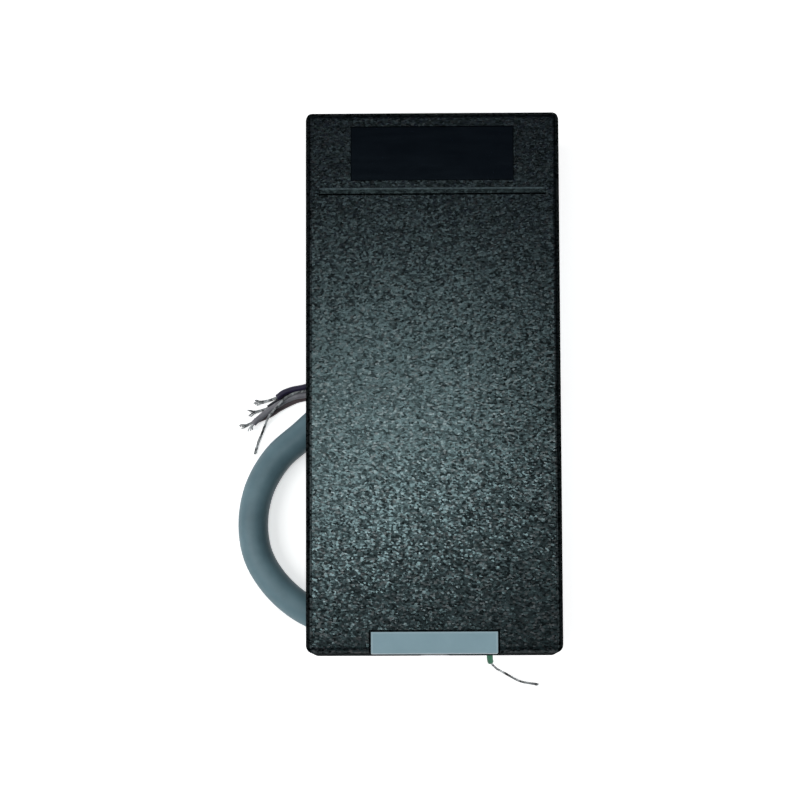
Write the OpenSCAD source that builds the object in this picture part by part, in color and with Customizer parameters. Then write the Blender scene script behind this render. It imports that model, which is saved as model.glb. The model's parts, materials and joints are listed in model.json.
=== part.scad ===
// Narrow wall-mount card reader with a cable tail, lying on its back.
// Origin: centre of the reader's body. +X right, +Y towards its top, +Z out of its front.

/* [Body] */
// Width of the housing
body_w = 48.3; // [46:0.1:50]
// Height of the housing, bottom to top
body_h = 103; // [101:0.5:105]
// Depth from the wall to the front face
body_d = 23; // [23:0.1:24]
// Rounding of the housing's corners, seen from the front
corner_r = 1.6; // [1.3:0.1:2.5]
// Rounding of the front face's edges
edge_r = 1.2; // [0.5:0.1:1.5]
// Thickness of the front wall
front_wall = 2.4; // [2:0.1:2.6]
// Thickness of the skirt around the mounting plate
skirt_wall = 2; // [1.6:0.1:2.2]

/* [Front face] */
// Width of the smooth panel near the top
badge_w = 30.8; // [20:0.2:36]
// Height of the smooth panel
badge_h = 10.2; // [6:0.2:11]
// Distance of the smooth panel below the top edge
badge_drop = 2.9; // [2.5:0.1:3.5]
// Length of the light bar
bar_w = 43; // [30:0.5:43]
// Height of the light bar
bar_h = 1.1; // [0.8:0.1:1.6]
// Distance of the light bar below the top edge
bar_drop = 15.1; // [14.5:0.1:16]
// Width of the pale tab on the bottom edge
tab_w = 23.8; // [16:0.2:26]
// Height of the pale tab on the front face
tab_h = 4; // [3:0.1:5]

/* [Mounting] */
// Distance between the two wall screw holes
hole_pitch = 60; // [58:0.5:70]
// Diameter of the wall screw holes
hole_d = 3.8; // [3.2:0.1:4.4]
// Thickness of the mounting plate
plate_t = 2; // [1.6:0.1:2.2]
// Width of the cable opening in the plate
opening_w = 30; // [28:0.5:32]
// Height of the cable opening in the plate
opening_h = 46; // [44:0.5:47]
// Diameter of the lock screw's shank
lock_d = 2.9; // [2.5:0.1:3]
// How far the lock screw is turned in from its open place
lock_travel = 3.2; // [2.4:0.1:3.2]

/* [Cable tail] */
// Diameter of the cable
cable_d = 6; // [5:0.1:6]
// Diameter of one insulated conductor
wire_d = 1.3; // [1:0.1:1.3]
// Room below the mounting plate that the folded cable takes
lift = 8; // [7.8:0.1:10]

/* [Hidden] */
$fn = 64;

// Levels through the depth, from the wall outwards
z_wall = -body_d / 2;
z_front = body_d / 2;
z_floor = z_wall - lift;
z_plate = z_wall + plate_t;
z_rim = z_wall + 0.6;
z_inner = z_front - front_wall;
z_cover = z_wall + 4.3;
cover_t = 1.6;
z_ledge = z_cover + cover_t + 0.8;
board_t = 1.2;
z_board = z_inner - 3.7;
z_board_front = z_board + board_t;
antenna_t = 0.8;
z_antenna = z_board_front + 0.8;
cable_z = z_floor + cable_d / 2;
// How far a cutting solid runs past the face that it cuts
past = 1;

// Smooth panel: depth of its recess, its thickness, and the play across it
badge_recess = 0.9;
badge_t = 0.8;
badge_play = 0.3;
// Light bar: shadow gap under it, play above it, play at its ends, and how far it and its foot sit below
// the front
bar_gap = 0.4;
bar_play = 0.03;
bar_end_play = 0.2;
bar_sink = 0.2;
bar_foot_sink = 1.2;
// Pale tab: thickness on the front and on the bottom wall, how far it comes down, and the gap round it
tab_t = 1.2;
tab_foot_t = 1.1;
tab_depth = 8.4;
tab_gap = 0.4;

// Housing insides
top = body_h / 2;
bottom = -body_h / 2;
case_wall = 3.4;
case_x = body_w / 2 - case_wall;
skirt_x = body_w / 2 - skirt_wall;
skirt_y = top - skirt_wall;
case_top = top - case_wall;
rib_t = 1.6;
rib_y = bottom + 12.5;
case_bottom = rib_y + rib_t;

// Board and what stands on it: places, sizes and heights above its back
board_x = 20.4;
board_y = [-36.6, 42];
lamp_x = [-10.5, 0, 10.5];
lamp_size = [3, 1.4, 0.9];
lamp_pocket = [3.6, 2];
antenna_y = 0.7;
antenna_size = [40, 60];
coil_size = [37, 57];
coil_pitch = 1.5;
coil_track = 0.8;
coil_t = 0.2;
ferrite_size = [32, 52];
ferrite_t = 0.3;
capacitor_at = [-16.8, 30];
crystal_at = [12, 6.5];
beeper_at = [12, -25];
beeper_h = 4.4;
sensor_at = [14, 26];
sensor_h = 1.2;
pipe_r = 1.5;
connector_x = [-12, 2];
connector_y = [33, 38.6];
connector_h = 4;
pin_pitch = 2.16;
first_pin_x = -10.4;
pin_z = z_board - 2.2;

// Fasteners inside: places of the cover screws and of the board screws
cover_screw_at = [[-17.6, 45], [17.6, 45], [-17.6, -34.4], [17.6, -34.4]];
board_screw_at = [[-16, 39.3], [16, 39.3], [0, -33.6]];
cover_boss_r = 2.6;
board_post_r = 2.2;
pilot_r = 1;
small_shank_r = 0.95;
cover_head_z = [0.1, 1.1];

// Top hooks: round noses on the plate in round seats in the housing
nose_r = 0.8;
nose_len = 6;
nose_x = 12;
nose_y = top - 2.3;
nose_z = z_wall + 2.9;
nose_play = 0.4;
seat_r = 1.1;

// Mounting plate: outline, and the lands that stand proud of its wall side
plate_w = 2 * skirt_x - 1.4;
plate_h = body_h - 6.4;
land_h = 0.4;
land_r = 5.5;
pad_size = 5;
plate_y = -0.1;

// Lock screw, its boss and the plate's threaded tab
lock_z = z_wall + 4.7;
head_r = 2.8;
head_h = 2.2;
washer_t = 0.5;
bore_r = head_r + 0.3;
lock_boss_x = 5.4;
lock_boss_h = 3.6;
plate_tab_x = 4.6;
plate_tab_h = 2.9;
notch_x = lock_boss_x + 0.4;
bore_end = bottom + head_h + washer_t + lock_travel + 0.1;
boss_end = bore_end + 1.5;
plate_tab_near = boss_end + 0.4;
plate_tab_far = rib_y - 0.8;
insert_r = 2.3;
lock_hole_r = lock_d / 2 + 0.15;

// Cable pocket in the back cover, and the strain relief in its end wall
pocket_x = [-12, 2];
pocket_y = [-14, 20.5];
pocket_wall = 1.4;
pocket_top = z_board - 2;
relief_x = -5;
relief_z = z_wall + 10.6;
relief_tip_y = 6;
relief_hole_r = 4;
inner_cable_end = 27;
// Connector pin that each conductor goes to, counted anticlockwise round the cable
lead_pin = [5, 4, 1, 0, 2, 3];

// Folded cable: two turns that lie side by side, with straight runs and round ends
fold_top_y = 27;
fold_bottom_y = -24.4;
outer_r = 20.8;
inner_r = 14.6;
run_end_y = 13;
jacket_end_y = 21;
half_d = cable_d / 2;
tie_y = [0.2, 3.8];
tie_t = 0.8;
tie_play = 0.1;
tie_rise = 1.7;
tie_head = 3;
tie_head_z = [2.4, 5.6];
tie_head_lip = 0.6;

// Route of the raised first stretch, from the strain relief down to the folded turns
lead_route = [
    [-5, 5.8, -0.9], [-5, 4.6, -0.9], [-5.3, 0.3, -2.4], [-6.6, -5.2, -6.2], [-8.8, -10.5, -10.7],
    [-11.4, -15.6, -14.4], [-13.8, -20, -16.3], [-14.6, -23.2, -16.5], [-14.6, -24.4, -16.5]
];
// Route of the stretch that bows out past the left edge
loop_route = [
    [-14.6, 13], [-15.1, 7.6], [-17, 2.4], [-20.6, -2.6], [-25.6, -7.4],
    [-31, -12.2], [-34.6, -18.4], [-35.8, -25], [-34.8, -31.6], [-31.4, -37.2],
    [-25.8, -42], [-18.4, -44.8], [-9, -45.6], [0, -45.2]
];
// Routes of the conductors: x, y, z and the radius there, bare metal at the far end
violet_route = [
    [-21.7, 21, -17.3, 0.6], [-21.7, 15, -17.5, 0.6], [-21.8, 9, -17.6, 0.6], [-22.3, 5, -17.6, 0.6],
    [-23.6, 2.8, -17.6, 0.6], [-25.8, 2, -17.6, 0.6], [-28.3, 1.5, -17.6, 0.6], [-29.9, 0.9, -17.6, 0.6],
    [-31.2, 0, -17.8, 0.6], [-32, -0.3, -18.1, 0.3], [-33.2, -0.6, -18.9, 0.3], [-35.9, -1, -19.2, 0.3]
];
black_route = [
    [-21.2, 21, -18.5, 0.6], [-21.1, 15, -18.8, 0.6], [-21.2, 9, -18.85, 0.6], [-21.7, 4.6, -18.85, 0.6],
    [-23.3, 2.1, -18.85, 0.6], [-25.8, 1.3, -18.85, 0.6], [-28.3, 0.8, -18.85, 0.6], [-30, 0.1, -18.85, 0.6],
    [-31.6, -1.1, -18.85, 0.6], [-33, -2, -18.85, 0.6], [-34.2, -2.4, -19.1, 0.3], [-37, -3.1, -19.2, 0.3]
];
brown_route = [
    [-19.9, 21, -18.35, 0.6], [-19.8, 15, -18.8, 0.6], [-19.9, 9, -18.85, 0.6], [-20.4, 4, -18.85, 0.6],
    [-22.2, 0.9, -18.85, 0.6], [-25.4, 0, -18.85, 0.6], [-27.4, -0.5, -18.85, 0.6],
    [-29.2, -1.3, -18.85, 0.6], [-30.9, -2.2, -18.85, 0.6], [-32.6, -3.3, -18.85, 0.6],
    [-34.2, -4, -18.85, 0.6], [-35.6, -4.6, -18.85, 0.6], [-36.4, -5, -19.05, 0.3], [-38.5, -5.9, -19.2, 0.3]
];
grey_route = [
    [-20.2, 21, -17.1, 0.6], [-20.2, 15, -17.5, 0.6], [-20.3, 9, -17.6, 0.6], [-20.9, 4.2, -17.6, 0.6],
    [-22.6, 1.4, -17.6, 0.6], [-25.4, 0.5, -17.6, 0.6], [-27.6, 0.1, -17.6, 0.6], [-29.4, -0.6, -17.6, 0.6],
    [-31, -1.5, -17.6, 0.6], [-32.6, -2.5, -17.6, 0.6], [-34.4, -3.9, -17.6, 0.6], [-35.8, -5.2, -17.6, 0.6],
    [-36.1, -5.6, -17.8, 0.3], [-36.6, -6.5, -18.5, 0.3]
];
drain_route = [
    [-20.95, 21, -16.4, 0.3], [-20.95, 15, -16.8, 0.3], [-21.1, 9, -16.95, 0.3], [-21.6, 4.6, -16.95, 0.3],
    [-23.2, 2.1, -16.95, 0.3], [-25.8, 1.2, -16.95, 0.3], [-28, 0.6, -16.85, 0.3], [-29.4, -0.2, -16.6, 0.3],
    [-30.6, -1.4, -16.6, 0.3], [-31.9, -2.8, -16.7, 0.3], [-32.9, -4, -17.6, 0.3], [-33.6, -5.4, -18.8, 0.3],
    [-34.1, -6.6, -19.2, 0.3], [-34.9, -8.6, -19.2, 0.3], [-35.7, -11.2, -19.2, 0.3]
];
green_route = [
    [-20.8, 21, -15, 0.6], [-20.8, 17, -13.4, 0.6], [-19.4, 12.4, -12.7, 0.6], [-16.8, 8.6, -12.7, 0.6],
    [-13.4, 5.6, -12.7, 0.6], [-10.2, 2.4, -14.6, 0.6], [-6.4, -2.2, -18.2, 0.6],
    [-2, -9, -18.85, 0.6], [0.6, -19, -18.85, 0.6], [2, -28, -18.4, 0.6],
    [3, -32.6, -14.6, 0.6], [4.2, -36.6, -12.7, 0.6], [7, -43, -12.7, 0.6],
    [10, -48.6, -12.8, 0.6], [10.7, -51.2, -14, 0.6], [10.9, -52.6, -15.2, 0.6],
    [11.7, -53.6, -16.6, 0.3], [13.9, -54.9, -18.4, 0.3], [17, -56.5, -19.1, 0.3], [20.4, -57.1, -19.2, 0.3]
];

// Rounded rectangle, centred
module round_rect(w, h, r) {
    square([w - 2 * r, h], center = true);
    square([w, h - 2 * r], center = true);
    for (x = [-1, 1], y = [-1, 1])
        translate([x * (w / 2 - r), y * (h / 2 - r)]) circle(r);
}

// Flat ring between two radii
module band(inside, outside) {
    difference() {
        circle(outside);
        circle(inside);
    }
}

// Box from one corner to the opposite one
module block(a, b) {
    translate(a) cube(b - a);
}

// Cylinder from a low level to a high one
module post(x, y, low, high, r) {
    translate([x, y, low]) cylinder(h = high - low, r = r);
}

// Cylinder along Y
module y_cylinder(x, z, from, to, r) {
    translate([x, to, z]) rotate([90, 0, 0]) cylinder(h = to - from, r = r);
}

// Outline of a wall with its two front corners rounded
module edge_profile(w) {
    h = z_front - z_rim;
    translate([-w / 2, z_rim]) square([w, h - edge_r]);
    translate([-w / 2 + edge_r, z_rim]) square([w - 2 * edge_r, h]);
    for (side = [-1, 1])
        translate([side * (w / 2 - edge_r), z_front - edge_r]) circle(edge_r);
}

// Rod between two points
module rod(a, b, r) {
    d = b - a;
    translate(a) rotate([0, acos(d[2] / norm(d)), atan2(d[1], d[0])])
        cylinder(h = norm(d), r = r, $fn = 24);
}

function unit(v) = v / norm(v);
function direction(route, i) =
    unit(route[min(i + 1, len(route) - 1)] - route[max(i - 1, 0)]);
function ring(centre, along, r, sides) =
    let (side = unit(cross(along, [0, 0, 1])), up = cross(side, along))
    [for (k = [0:sides - 1]) centre + r * (cos(360 * k / sides) * side + sin(360 * k / sides) * up)];

// Tube along a route, with its own radius at each point
module tube(route, radii, sides) {
    last = len(route) - 1;
    points = [for (i = [0:last]) each ring(route[i], direction(route, i), radii[i], sides)];
    walls = [for (i = [0:last - 1], k = [0:sides - 1])
        [i * sides + k, (i + 1) * sides + k,
         (i + 1) * sides + (k + 1) % sides, i * sides + (k + 1) % sides]];
    near_cap = [for (k = [0:sides - 1]) k];
    far_cap = [for (k = [0:sides - 1]) last * sides + sides - 1 - k];
    polyhedron(points = points, faces = concat(walls, [near_cap, far_cap]), convexity = 8);
}

module conductor(route) {
    tube([for (p = route) [p[0], p[1], p[2]]], [for (p = route) p[3] * wire_d / 1.3], 8);
}

module front_cover() color([0.13, 0.16, 0.17]) {
    tab_slot_x = tab_w / 2 + tab_gap;
    difference() {
        union() {
            difference() {
                intersection() {
                    translate([0, 0, z_rim]) linear_extrude(z_front - z_rim)
                        round_rect(body_w, body_h, corner_r);
                    rotate([90, 0, 0]) linear_extrude(body_h + 2, center = true) edge_profile(body_w);
                    rotate([90, 0, 90]) linear_extrude(body_w + 2, center = true) edge_profile(body_h);
                }
                block([-case_x, case_bottom, z_ledge - 1], [case_x, case_top, z_inner]);
                block([-case_x, bottom + skirt_wall, z_ledge - 1], [case_x, rib_y, z_inner - 1.6]);
                block([-skirt_x, bottom + skirt_wall, z_rim - 1], [skirt_x, skirt_y, z_ledge]);
            }
            block([-lock_boss_x, bottom + skirt_wall - 0.5, z_rim],
                  [lock_boss_x, boss_end, lock_z + lock_boss_h]);
            for (p = cover_screw_at) post(p[0], p[1], z_cover + cover_t, z_inner + 0.5, cover_boss_r);
            for (p = board_screw_at) post(p[0], p[1], z_board_front, z_inner + 0.5, board_post_r);
        }
        // Recess for the smooth panel, slot for the light bar, recess for the pale tab
        translate([0, top - badge_drop - badge_h / 2, z_front - badge_recess])
            linear_extrude(badge_recess + past)
                square([badge_w + badge_play, badge_h + badge_play], center = true);
        translate([0, top - bar_drop - bar_gap / 2, z_inner - past])
            linear_extrude(front_wall + 2 * past)
                square([bar_w + bar_end_play, bar_h + bar_gap], center = true);
        block([-tab_slot_x, bottom - past, z_front - tab_t],
              [tab_slot_x, bottom + tab_h + tab_gap, z_front + past]);
        block([-tab_slot_x, bottom - past, z_front - tab_depth - tab_gap],
              [tab_slot_x, bottom + tab_foot_t, z_front + past]);
        // Lock screw hole with its deep counterbore
        y_cylinder(0, lock_z, bottom - past, bore_end, bore_r);
        y_cylinder(0, lock_z, bottom, boss_end + past, lock_hole_r);
        // Round seats for the hooks
        for (side = [-1, 1])
            translate([side * nose_x - nose_len / 2 - nose_play, nose_y, nose_z])
                rotate([0, 90, 0]) cylinder(h = nose_len + 2 * nose_play, r = seat_r);
        for (p = cover_screw_at) post(p[0], p[1], z_cover, z_cover + cover_t + 8, pilot_r);
        for (p = board_screw_at) post(p[0], p[1], z_board, z_inner + 0.4, pilot_r);
    }
}

module badge_panel() color([0.05, 0.07, 0.09]) {
    translate([0, top - badge_drop - badge_h / 2, z_front - badge_recess])
        linear_extrude(badge_t) square([badge_w, badge_h], center = true);
}

module light_bar() color([0.2, 0.22, 0.24]) {
    translate([0, top - bar_drop - bar_play, z_inner])
        linear_extrude(front_wall - bar_sink) square([bar_w, bar_h], center = true);
    // Foot that closes the shadow gap
    lower_side = top - bar_drop - bar_h / 2;
    block([-bar_w / 2, lower_side - bar_gap + bar_play, z_inner],
          [bar_w / 2, lower_side, z_inner + front_wall - bar_foot_sink]);
}

module light_guide() color([0.85, 0.88, 0.9]) {
    low = z_board_front + lamp_size[2];
    difference() {
        translate([0, top - bar_drop, low]) linear_extrude(z_inner - low) {
            square([27, 3], center = true);
            translate([0, -0.6]) square([40, 1.8], center = true);
        }
        for (x = lamp_x)
            translate([x, top - bar_drop, low - 0.5]) linear_extrude(1) square(lamp_pocket, center = true);
    }
}

module trim_tab() color([0.5, 0.6, 0.65]) {
    block([-tab_w / 2, bottom, z_front - tab_t], [tab_w / 2, bottom + tab_h, z_front]);
    block([-tab_w / 2, bottom, z_front - tab_depth], [tab_w / 2, bottom + tab_foot_t, z_front - tab_t]);
}

module status_leds() color([0.9, 0.9, 0.8]) {
    for (x = lamp_x)
        translate([x - lamp_size[0] / 2, top - bar_drop - lamp_size[1] / 2, z_board_front]) cube(lamp_size);
}

module antenna_coil() color([0.75, 0.45, 0.25]) {
    translate([0, antenna_y, z_antenna + antenna_t]) linear_extrude(coil_t)
        for (turn = [0:3]) {
            w = coil_size[0] - 2 * coil_pitch * turn;
            h = coil_size[1] - 2 * coil_pitch * turn;
            difference() {
                round_rect(w, h, 3 - 0.5 * turn);
                round_rect(w - 2 * coil_track, h - 2 * coil_track, 2.4 - 0.5 * turn);
            }
        }
}

module antenna_board() color([0.1, 0.35, 0.22]) {
    translate([0, antenna_y, z_antenna]) linear_extrude(antenna_t)
        round_rect(antenna_size[0], antenna_size[1], 1.5);
}

module ferrite_sheet() color([0.2, 0.2, 0.21]) {
    translate([0, antenna_y, z_antenna - ferrite_t]) linear_extrude(ferrite_t)
        square(ferrite_size, center = true);
}

module antenna_spacers() color([0.9, 0.9, 0.86]) {
    from_corner = [1.8, 3.3];
    corner = [antenna_size[0] / 2 - from_corner[0], antenna_size[1] / 2 - from_corner[1]];
    for (x = [-1, 1], y = [-1, 1])
        post(x * corner[0], antenna_y + y * corner[1], z_board_front, z_antenna, 1.1);
}

module main_board() color([0.08, 0.3, 0.18]) {
    difference() {
        block([-board_x, board_y[0], z_board], [board_x, board_y[1], z_board_front]);
        for (p = board_screw_at) post(p[0], p[1], z_board - past, z_board_front + past, pilot_r + 0.2);
        // Room for the two lower screw bosses, out to the board's corners
        for (p = cover_screw_at) if (p[1] < 0) {
            post(p[0], p[1], z_board - past, z_board_front + past, cover_boss_r + 0.4);
            side = sign(p[0]);
            block([side * 19 - 4, board_y[0] - past, z_board - past],
                  [side * 19 + 4, p[1], z_board_front + past]);
        }
    }
}

module board_screws() color([0.75, 0.76, 0.78]) {
    for (p = board_screw_at) difference() {
        union() {
            post(p[0], p[1], z_board, z_inner - 0.6, small_shank_r);
            post(p[0], p[1], z_board - 1.4, z_board, 1.9);
        }
        post(p[0], p[1], z_board - 2, z_board - 0.7, 0.8, $fn = 6);
    }
}

// Chip body with rows of leads on two sides, standing on the back of the board
module chip(x, y, w, h, t, pins) {
    block([x - w / 2, y - h / 2, z_board - t], [x + w / 2, y + h / 2, z_board - 0.1]);
    pitch = (h - 1) / (pins - 1);
    for (side = [-1, 1], k = [0:pins - 1])
        translate([x + side * (w / 2 + 0.3), y - (h - 1) / 2 + k * pitch, z_board - 0.25])
            cube([1, pitch * 0.45, 0.5], center = true);
}

module controller_chip() color([0.1, 0.1, 0.11]) chip(-8, -24.5, 10, 10, 1.4, 10);

module radio_chip() color([0.12, 0.12, 0.13]) chip(12, 14, 7, 7, 1.1, 7);

module crystal() color([0.8, 0.8, 0.78]) {
    translate([crystal_at[0], crystal_at[1], z_board - 1.2]) linear_extrude(1.2) round_rect(6, 3.2, 0.6);
}

module power_capacitor() color([0.7, 0.72, 0.75]) {
    post(capacitor_at[0], capacitor_at[1], z_board - 5, z_board, 2.9);
}

module chip_parts() color([0.55, 0.45, 0.32]) {
    for (row = [0:3], column = [0:2])
        translate([8 + column * 4, -14 + row * 4, z_board - 0.8])
            linear_extrude(0.8) square([2.4, 1.4], center = true);
}

module beeper() color([0.08, 0.08, 0.09]) {
    difference() {
        post(beeper_at[0], beeper_at[1], z_board - beeper_h, z_board, 4.75);
        post(beeper_at[0], beeper_at[1], z_board - beeper_h - past, z_board - beeper_h + 0.8, 1.2);
    }
}

module tamper_sensor() color([0.1, 0.1, 0.1]) {
    half = 2;
    block([sensor_at[0] - half, sensor_at[1] - half, z_board - sensor_h],
          [sensor_at[0] + half, sensor_at[1] + half, z_board]);
}

module tamper_light_pipe() color([0.85, 0.9, 0.92]) {
    post(sensor_at[0], sensor_at[1], z_cover, z_board - sensor_h - 0.2, pipe_r);
    post(sensor_at[0], sensor_at[1], z_cover + cover_t, z_cover + cover_t + 1, pipe_r + 0.7);
}

module cable_connector() color([0.92, 0.91, 0.86]) {
    difference() {
        block([connector_x[0], connector_y[0], z_board - connector_h],
              [connector_x[1], connector_y[1], z_board]);
        for (k = [0:5])
            y_cylinder(first_pin_x + k * pin_pitch, pin_z, connector_y[0] - past, connector_y[0] + 2, 0.7);
    }
}

module internal_leads() color([0.45, 0.2, 0.2]) {
    spread = 1.9;
    for (k = [0:5])
        rod([relief_x + spread * cos(60 * k), inner_cable_end, relief_z + spread * sin(60 * k)],
            [first_pin_x + lead_pin[k] * pin_pitch, connector_y[0] + 0.4, pin_z], 0.5);
}

module internal_cable() color([0.36, 0.44, 0.46]) {
    y_cylinder(relief_x, relief_z, relief_tip_y, inner_cable_end, half_d);
}

module strain_relief() color([0.15, 0.16, 0.17]) {
    end_wall = pocket_y[1] + pocket_wall;
    translate([relief_x, 0, relief_z]) rotate([-90, 0, 0]) rotate_extrude()
        polygon([
            [half_d, relief_tip_y], [half_d + 0.45, relief_tip_y], [half_d + 1.2, pocket_y[1] - 2],
            [half_d + 1.3, pocket_y[1]], [relief_hole_r, pocket_y[1]], [relief_hole_r, end_wall],
            [relief_hole_r + 0.6, end_wall], [relief_hole_r + 0.6, end_wall + 1.4], [half_d, end_wall + 1.4]
        ]);
}

module cover_gasket() color([0.06, 0.06, 0.07]) {
    middle = (skirt_y + rib_y) / 2;
    height = skirt_y - rib_y;
    translate([0, middle, z_ledge - 0.8]) linear_extrude(0.8) difference() {
        square([2 * skirt_x - 0.4, height - 0.6], center = true);
        square([2 * case_x + 0.2, height - 2.8], center = true);
    }
}

module back_cover() color([0.16, 0.17, 0.18]) {
    end_wall = pocket_y[1] + pocket_wall;
    difference() {
        union() {
            block([-skirt_x + 0.3, rib_y + 0.4, z_cover],
                  [skirt_x - 0.3, skirt_y - 0.3, z_cover + cover_t]);
            block([pocket_x[0] - pocket_wall, pocket_y[0] - pocket_wall, z_cover],
                  [pocket_x[1] + pocket_wall, end_wall, pocket_top + 1.2]);
        }
        block([pocket_x[0], pocket_y[0], z_cover - 1], [pocket_x[1], pocket_y[1], pocket_top]);
        y_cylinder(relief_x, relief_z, pocket_y[1] - 1, end_wall + 1, relief_hole_r);
        for (p = cover_screw_at) {
            post(p[0], p[1], z_cover - past, z_cover + cover_t + past, small_shank_r + 0.3);
            post(p[0], p[1], z_cover - past, z_cover + cover_head_z[1], 2.2);
        }
        post(sensor_at[0], sensor_at[1], z_cover - past, z_cover + cover_t + past, pipe_r + 0.05);
    }
}

module cover_screws() color([0.7, 0.71, 0.73]) {
    for (p = cover_screw_at) difference() {
        union() {
            post(p[0], p[1], z_cover + cover_head_z[0], z_cover + cover_head_z[1], 2);
            post(p[0], p[1], z_cover + cover_head_z[1], z_cover + 8.5, small_shank_r);
        }
        post(p[0], p[1], z_cover, z_cover + 0.8, 0.9, $fn = 6);
    }
}

module screw_washer() color([0.1, 0.1, 0.1]) {
    difference() {
        y_cylinder(0, lock_z, bottom + head_h, bottom + head_h + washer_t, head_r - 0.2);
        y_cylinder(0, lock_z, bottom, bottom + 4, lock_d / 2 + 0.05);
    }
}

module lock_screw() color([0.6, 0.62, 0.64]) {
    difference() {
        union() {
            y_cylinder(0, lock_z, bottom, bottom + head_h, head_r);
            y_cylinder(0, lock_z, bottom + head_h, boss_end - 0.1, lock_d / 2);
        }
        y_cylinder(0, lock_z, bottom - 1, bottom + 1.5, 1.25, $fn = 6);
    }
}

module mounting_plate() color([0.2, 0.21, 0.22]) {
    difference() {
        union() {
            translate([0, 0, z_wall + land_h]) linear_extrude(plate_t - land_h) difference() {
                translate([0, plate_y]) round_rect(plate_w, plate_h, 1);
                round_rect(opening_w, opening_h, 5);
            }
            // Lands and corner pads that meet the wall
            for (side = [-1, 1]) post(0, side * hole_pitch / 2, z_wall, z_plate, land_r);
            for (side = [-1, 1], end = [-1, 1])
                translate([side * (plate_w / 2 - 3), end * (plate_h / 2 - 3) + plate_y, z_wall])
                    linear_extrude(plate_t) round_rect(pad_size, pad_size, 0.8);
            for (side = [-1, 1]) {
                block([side * nose_x - nose_len / 2, nose_y - 2, z_plate - 0.2],
                      [side * nose_x + nose_len / 2, nose_y - 0.4, nose_z + 0.6]);
                translate([side * nose_x - nose_len / 2, nose_y, nose_z])
                    rotate([0, 90, 0]) cylinder(h = nose_len, r = nose_r);
            }
            block([-plate_tab_x, plate_tab_near, z_plate - 0.2],
                  [plate_tab_x, plate_tab_far, lock_z + plate_tab_h]);
        }
        for (side = [-1, 1]) post(0, side * hole_pitch / 2, z_wall - past, z_plate + past, hole_d / 2);
        y_cylinder(0, lock_z, plate_tab_near - past, plate_tab_far + past, insert_r);
        // Notch that the lock screw's boss sits in
        block([-notch_x, bottom, z_wall - past], [notch_x, plate_tab_near - 0.1, z_plate + 0.5]);
    }
}

module lock_insert() color([0.78, 0.62, 0.3]) {
    difference() {
        y_cylinder(0, lock_z, plate_tab_near, plate_tab_far, insert_r);
        y_cylinder(0, lock_z, plate_tab_near - 1, plate_tab_far + 1, lock_d / 2 + 0.1);
    }
}

module cord_lead() color([0.36, 0.44, 0.46]) {
    tube(lead_route, [for (p = lead_route) half_d], 10);
}

module cord_loop() color([0.36, 0.44, 0.46]) {
    tube([for (p = loop_route) [p[0], p[1], cable_z]], [for (p = loop_route) half_d], 10);
}

// Outer shape of the two turns: round ends, right-hand runs, and the short left-hand runs
module cord_hank() color([0.36, 0.44, 0.46]) {
    inside = inner_r - half_d;
    outside = outer_r + half_d;
    difference() {
        translate([0, 0, z_floor]) linear_extrude(cable_d) {
            translate([0, fold_top_y]) intersection() {
                band(inside, outside);
                translate([-outside, 0]) square([2 * outside, outside]);
            }
            translate([inside, fold_bottom_y]) square([outside - inside, fold_top_y - fold_bottom_y]);
            translate([-inner_r - half_d, run_end_y]) square([cable_d, fold_top_y - run_end_y]);
            translate([-outside, jacket_end_y]) square([outside - inside, fold_top_y - jacket_end_y]);
            translate([0, fold_bottom_y]) intersection() {
                band(inside, outside);
                translate([0, -outside]) square([outside, outside]);
            }
            translate([0, fold_bottom_y]) intersection() {
                band(inside, inner_r + half_d);
                translate([-outside, -outside]) square([outside, outside]);
            }
        }
        block([inside - past, tie_y[0] - 2 * tie_play, z_floor - past],
              [outside + past, tie_y[1] + 2 * tie_play, z_floor + tie_t + tie_play]);
    }
}

module cable_tie() color([0.1, 0.1, 0.1]) {
    left = inner_r - half_d - tie_play;
    right = outer_r + half_d + tie_play;
    high = z_floor + cable_d + tie_rise;
    difference() {
        block([left - tie_t, tie_y[0], z_floor], [right + tie_t, tie_y[1], high]);
        block([left, tie_y[0] - past, z_floor + tie_t], [right, tie_y[1] + past, high - tie_t]);
    }
    block([left - tie_t - tie_head, tie_y[0] - tie_head_lip, z_floor + tie_head_z[0]],
          [left - tie_t, tie_y[1] + tie_head_lip, z_floor + tie_head_z[1]]);
}

module wire_violet() color([0.16, 0.13, 0.25]) conductor(violet_route);

module wire_black() color([0.08, 0.08, 0.1]) conductor(black_route);

module wire_brown() color([0.32, 0.24, 0.2]) conductor(brown_route);

module wire_grey() color([0.6, 0.62, 0.62]) conductor(grey_route);

module wire_green() color([0.13, 0.42, 0.3]) conductor(green_route);

module wire_drain() color([0.6, 0.6, 0.58]) conductor(drain_route);

front_cover();
badge_panel();
light_bar();
light_guide();
trim_tab();
status_leds();
antenna_coil();
antenna_board();
ferrite_sheet();
antenna_spacers();
main_board();
board_screws();
controller_chip();
radio_chip();
crystal();
power_capacitor();
chip_parts();
beeper();
tamper_sensor();
tamper_light_pipe();
cable_connector();
internal_leads();
internal_cable();
strain_relief();
cover_gasket();
back_cover();
cover_screws();
screw_washer();
lock_screw();
mounting_plate();
lock_insert();
cord_lead();
cord_loop();
cord_hank();
cable_tie();
wire_violet();
wire_black();
wire_brown();
wire_grey();
wire_green();
wire_drain();
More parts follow.
